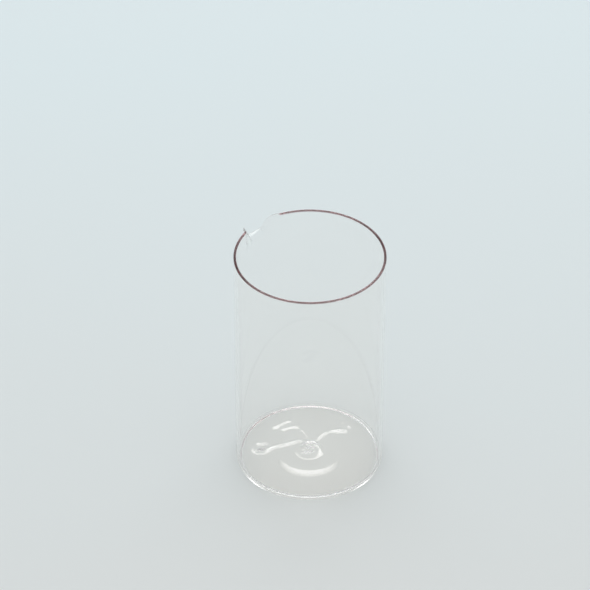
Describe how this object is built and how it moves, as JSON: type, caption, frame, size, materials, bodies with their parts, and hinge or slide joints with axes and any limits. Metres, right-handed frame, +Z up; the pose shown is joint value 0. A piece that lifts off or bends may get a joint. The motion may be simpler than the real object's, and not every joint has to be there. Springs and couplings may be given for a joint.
{
  "type": "beaker",
  "caption": "Cylindrical flame-worked glass beaker with a pulled pouring spout, a pushed-up base and a plum-coloured glass thread fused round its rim.",
  "frame": {"origin": "centre of the foot ring, on the surface that the beaker stands on", "axes": "+Z up along the axis of the tube; the pouring spout points 131 degrees anticlockwise from +X, seen from above"},
  "size_m": [0.075, 0.075, 0.128],
  "materials": {
    "clear_glass": "fire-polished clear borosilicate glass",
    "plum_glass": "glossy dark plum glass, nearly opaque"
  },
  "bodies": {
    "root": {"side_wall": "clear_glass", "base": "clear_glass", "centre_button": "clear_glass", "rim_thread": "plum_glass"}
  },
  "joints": []
}
